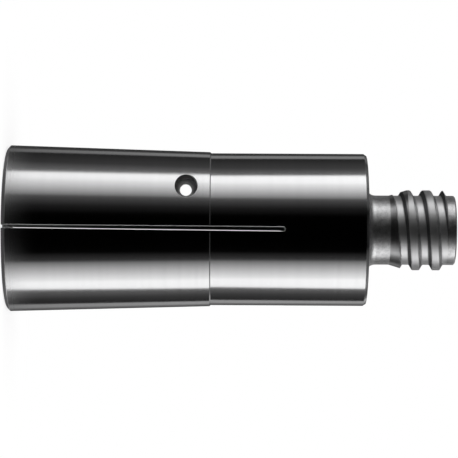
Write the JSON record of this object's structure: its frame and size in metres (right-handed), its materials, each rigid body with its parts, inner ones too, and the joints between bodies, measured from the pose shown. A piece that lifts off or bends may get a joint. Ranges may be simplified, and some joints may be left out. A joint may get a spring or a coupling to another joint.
{
  "type": "pin-lock adapter sleeve",
  "caption": "Slotted steel adapter sleeve that grips a cylindrical tool shank, locks it with a cross pin and is drawn into its holder by a coarse thread.",
  "frame": {"origin": "centre of the nose face, which the sleeve stands on", "axes": "+Z along the sleeve's axis, from the nose to the threaded stem; the slots lie in the planes X = 0 and Y = 0; the pin hole runs along Y on the -X side, with its wide mouth at -Y"},
  "size_m": [0.0328, 0.0328, 0.0882],
  "materials": {
    "ground_steel": "ground round the axis on the body, matte on the stem"
  },
  "bodies": {
    "root": {"adapter_sleeve": "ground_steel"}
  },
  "joints": []
}
